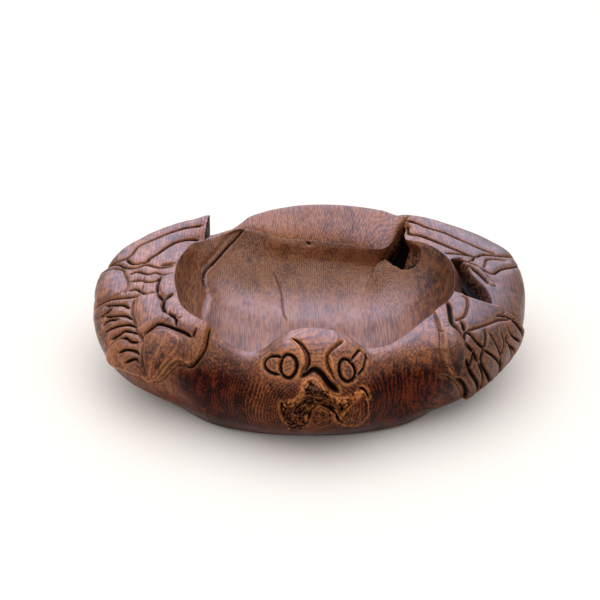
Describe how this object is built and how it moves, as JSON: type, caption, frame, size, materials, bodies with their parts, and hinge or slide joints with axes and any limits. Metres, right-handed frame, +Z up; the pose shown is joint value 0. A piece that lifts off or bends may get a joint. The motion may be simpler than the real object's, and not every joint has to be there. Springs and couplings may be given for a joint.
{
  "type": "carved wooden bowl",
  "caption": "Low round wooden bowl carved as a bird, with a head at the front, feathered wings round the rim and a raised tail at the back.",
  "frame": {"origin": "centre of the foot's underside, on the surface the bowl stands on", "axes": "+Z up, -Y towards the bird's head, +X towards the wing on the right when the head is looked at from the front"},
  "size_m": [0.3043, 0.2325, 0.0839],
  "materials": {
    "basin_wood": "waxed dark hardwood, smooth, with fine growth rings",
    "carved_wood": "gouge-cut dark hardwood, waxed, with darkened cuts",
    "foot_wood": "dark stained hardwood"
  },
  "bodies": {
    "root": {"basin": "basin_wood", "foot": "foot_wood", "head": "carved_wood", "left_breast": "carved_wood", "right_breast": "carved_wood", "left_coverts": "carved_wood", "right_coverts": "carved_wood", "left_primaries": "carved_wood", "right_primaries": "carved_wood", "tail": "basin_wood"}
  },
  "joints": []
}
